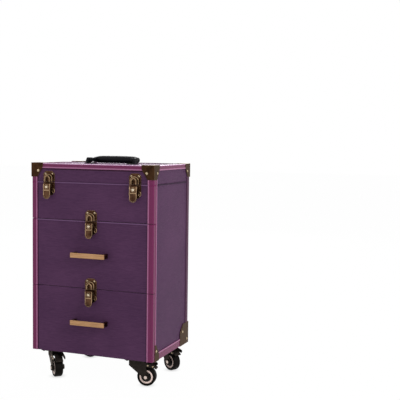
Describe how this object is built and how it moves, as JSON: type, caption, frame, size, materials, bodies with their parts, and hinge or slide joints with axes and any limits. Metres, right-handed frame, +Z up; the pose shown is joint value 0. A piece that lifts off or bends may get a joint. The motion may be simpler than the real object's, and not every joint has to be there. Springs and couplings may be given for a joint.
{
  "type": "makeup train case",
  "caption": "Rolling hard-sided makeup train case: lidded top tier, two drawers, latches with locks, folding carry handle, telescopic trolley handle and swivel casters with brakes.",
  "frame": {"origin": "on the floor, under the middle of the case", "axes": "+Z up, the fronts of the drawers face -Y, +X to the right seen from the front"},
  "size_m": [0.3664, 0.3, 0.6],
  "materials": {
    "purple_leather": "satin grained",
    "covered_board": "matte covered",
    "glossy_trim": "glossy",
    "antique_brass": "antique satin",
    "bright_steel": "polished",
    "lining_fabric": "soft",
    "runner_steel": "satin",
    "pull_metal": "champagne satin",
    "black_plastic": "satin",
    "black_tube": "satin",
    "caster_steel": "satin",
    "wheel_rubber": "matte"
  },
  "bodies": {
    "case": {"side_panels": "purple_leather", "back_panel": "purple_leather", "bottom_panel": "covered_board", "shelves": "covered_board", "tier_front": "purple_leather", "case_trims": "glossy_trim", "base_corners": "antique_brass", "tier_lining": "lining_fabric", "case_runners": "runner_steel", "lower_hinges": "antique_brass", "case_latch_plates": "antique_brass", "trolley_outer_tubes": "black_tube", "trolley_brackets": "black_plastic", "caster_plates": "caster_steel", "case_screws": "bright_steel"},
    "lid": {"lid_shell": "purple_leather", "lid_trims": "glossy_trim", "lid_corners": "antique_brass", "lid_lining": "lining_fabric", "upper_hinges": "antique_brass", "lid_catches": "antique_brass", "handle_mounts": "black_plastic", "lid_screws": "bright_steel"},
    "carry_handle": {"carry_handle": "black_plastic"},
    "upper_drawer": {"upper_drawer_front": "purple_leather", "upper_drawer_trims": "glossy_trim", "upper_drawer_box": "covered_board", "upper_drawer_runners": "runner_steel", "upper_drawer_pull": "pull_metal", "upper_drawer_latch_plates": "antique_brass"},
    "lower_drawer": {"lower_drawer_front": "purple_leather", "lower_drawer_trims": "glossy_trim", "lower_drawer_box": "covered_board", "lower_drawer_runners": "runner_steel", "lower_drawer_pull": "pull_metal", "lower_drawer_latch_base": "antique_brass"},
    "lid_lever_left": {"lid_lever_left": "antique_brass"},
    "lid_lever_right": {"lid_lever_right": "antique_brass"},
    "upper_drawer_lever": {"upper_drawer_lever": "antique_brass"},
    "lower_drawer_lever": {"lower_drawer_lever": "antique_brass"},
    "lid_plug_left": {"lid_plug_left": "bright_steel"},
    "lid_plug_right": {"lid_plug_right": "bright_steel"},
    "upper_drawer_plug": {"upper_drawer_plug": "bright_steel"},
    "lower_drawer_plug": {"lower_drawer_plug": "bright_steel"},
    "trolley_middle": {"trolley_middle_tubes": "black_tube"},
    "trolley_inner": {"trolley_inner_tubes": "black_tube", "trolley_grip": "black_plastic"},
    "trolley_button": {"trolley_button": "black_plastic"},
    "caster_1": {"caster_1_fork": "caster_steel"},
    "caster_1_wheel": {"caster_1_wheel": "wheel_rubber"},
    "caster_1_brake": {"caster_1_brake": "caster_steel"},
    "caster_2": {"caster_2_fork": "caster_steel"},
    "caster_2_wheel": {"caster_2_wheel": "wheel_rubber"},
    "caster_2_brake": {"caster_2_brake": "caster_steel"},
    "caster_3": {"caster_3_fork": "caster_steel"},
    "caster_3_wheel": {"caster_3_wheel": "wheel_rubber"},
    "caster_3_brake": {"caster_3_brake": "caster_steel"},
    "caster_4": {"caster_4_fork": "caster_steel"},
    "caster_4_wheel": {"caster_4_wheel": "wheel_rubber"},
    "caster_4_brake": {"caster_4_brake": "caster_steel"}
  },
  "joints": [
    {"name": "lid_hinge", "type": "hinge", "parent": "case", "child": "lid", "pos_m": [0, 0.1285, 0.533], "axis": [1, 0, 0], "range_deg": [-95, 0]},
    {"name": "carry_handle_pivot", "type": "hinge", "parent": "lid", "child": "carry_handle", "pos_m": [0, -0.008, 0.5915], "axis": [1, 0, 0], "range_deg": [0, 100]},
    {"name": "upper_drawer_slide", "type": "slide", "parent": "case", "child": "upper_drawer", "axis": [0, -1, 0], "range_m": [0, 0.15]},
    {"name": "lower_drawer_slide", "type": "slide", "parent": "case", "child": "lower_drawer", "axis": [0, -1, 0], "range_m": [0, 0.15]},
    {"name": "trolley_middle_slide", "type": "slide", "parent": "case", "child": "trolley_middle", "axis": [0, 0, 1], "range_m": [0, 0.233]},
    {"name": "trolley_inner_slide", "type": "slide", "parent": "trolley_middle", "child": "trolley_inner", "axis": [0, 0, 1], "range_m": [0, 0.233]},
    {"name": "trolley_button_press", "type": "slide", "parent": "trolley_inner", "child": "trolley_button", "axis": [0, 0, -1], "range_m": [0, 0.003], "stiffness_N_per_m": 600, "springref_m": -0.003},
    {"name": "lid_lever_left_pivot", "type": "hinge", "parent": "case", "child": "lid_lever_left", "pos_m": [-0.127, -0.1315, 0.524], "axis": [-1, 0, 0], "range_deg": [0, 95]},
    {"name": "lid_lever_right_pivot", "type": "hinge", "parent": "case", "child": "lid_lever_right", "pos_m": [0.127, -0.1315, 0.524], "axis": [-1, 0, 0], "range_deg": [0, 95]},
    {"name": "upper_drawer_lever_pivot", "type": "hinge", "parent": "upper_drawer", "child": "upper_drawer_lever", "pos_m": [0, -0.1315, 0.4235], "axis": [-1, 0, 0], "range_deg": [0, 95]},
    {"name": "lower_drawer_lever_pivot", "type": "hinge", "parent": "lower_drawer", "child": "lower_drawer_lever", "pos_m": [0, -0.1315, 0.2425], "axis": [-1, 0, 0], "range_deg": [0, 95]},
    {"name": "lid_plug_left_turn", "type": "hinge", "parent": "lid_lever_left", "child": "lid_plug_left", "pos_m": [-0.127, -0.1375, 0.5195], "axis": [0, -1, 0], "range_deg": [0, 90]},
    {"name": "lid_plug_right_turn", "type": "hinge", "parent": "lid_lever_right", "child": "lid_plug_right", "pos_m": [0.127, -0.1375, 0.5195], "axis": [0, -1, 0], "range_deg": [0, 90]},
    {"name": "upper_drawer_plug_turn", "type": "hinge", "parent": "upper_drawer_lever", "child": "upper_drawer_plug", "pos_m": [0, -0.1375, 0.419], "axis": [0, -1, 0], "range_deg": [0, 90]},
    {"name": "lower_drawer_plug_turn", "type": "hinge", "parent": "lower_drawer_lever", "child": "lower_drawer_plug", "pos_m": [0, -0.1375, 0.238], "axis": [0, -1, 0], "range_deg": [0, 90]},
    {"name": "caster_1_swivel", "type": "hinge", "parent": "case", "child": "caster_1", "pos_m": [0.126, -0.094, 0.06], "axis": [0, 0, 1], "continuous": true},
    {"name": "caster_1_roll", "type": "hinge", "parent": "caster_1", "child": "caster_1_wheel", "pos_m": [0.14963, -0.08983, 0.025], "axis": [-0.1736, 0.9848, 0], "continuous": true},
    {"name": "caster_1_brake_press", "type": "hinge", "parent": "caster_1", "child": "caster_1_brake", "pos_m": [0.14176, -0.09122, 0.06], "axis": [-0.1736, 0.9848, 0], "range_deg": [0, 13]},
    {"name": "caster_2_swivel", "type": "hinge", "parent": "case", "child": "caster_2", "pos_m": [-0.126, -0.094, 0.06], "axis": [0, 0, 1], "continuous": true},
    {"name": "caster_2_roll", "type": "hinge", "parent": "caster_2", "child": "caster_2_wheel", "pos_m": [-0.10933, -0.11126, 0.025], "axis": [0.7193, 0.6947, 0], "continuous": true},
    {"name": "caster_2_brake_press", "type": "hinge", "parent": "caster_2", "child": "caster_2_brake", "pos_m": [-0.11489, -0.10551, 0.06], "axis": [0.7193, 0.6947, 0], "range_deg": [0, 13]},
    {"name": "caster_3_swivel", "type": "hinge", "parent": "case", "child": "caster_3", "pos_m": [0.134, 0.08, 0.06], "axis": [0, 0, 1], "continuous": true},
    {"name": "caster_3_roll", "type": "hinge", "parent": "caster_3", "child": "caster_3_wheel", "pos_m": [0.15519, 0.06873, 0.025], "axis": [0.4695, 0.8829, 0], "continuous": true},
    {"name": "caster_3_brake_press", "type": "hinge", "parent": "caster_3", "child": "caster_3_brake", "pos_m": [0.14813, 0.07249, 0.06], "axis": [0.4695, 0.8829, 0], "range_deg": [0, 13]},
    {"name": "caster_4_swivel", "type": "hinge", "parent": "case", "child": "caster_4", "pos_m": [-0.134, 0.08, 0.06], "axis": [0, 0, 1], "continuous": true},
    {"name": "caster_4_roll", "type": "hinge", "parent": "caster_4", "child": "caster_4_wheel", "pos_m": [-0.12273, 0.10119, 0.025], "axis": [-0.8829, 0.4695, 0], "continuous": true},
    {"name": "caster_4_brake_press", "type": "hinge", "parent": "caster_4", "child": "caster_4_brake", "pos_m": [-0.12649, 0.09413, 0.06], "axis": [-0.8829, 0.4695, 0], "range_deg": [0, 13]}
  ]
}
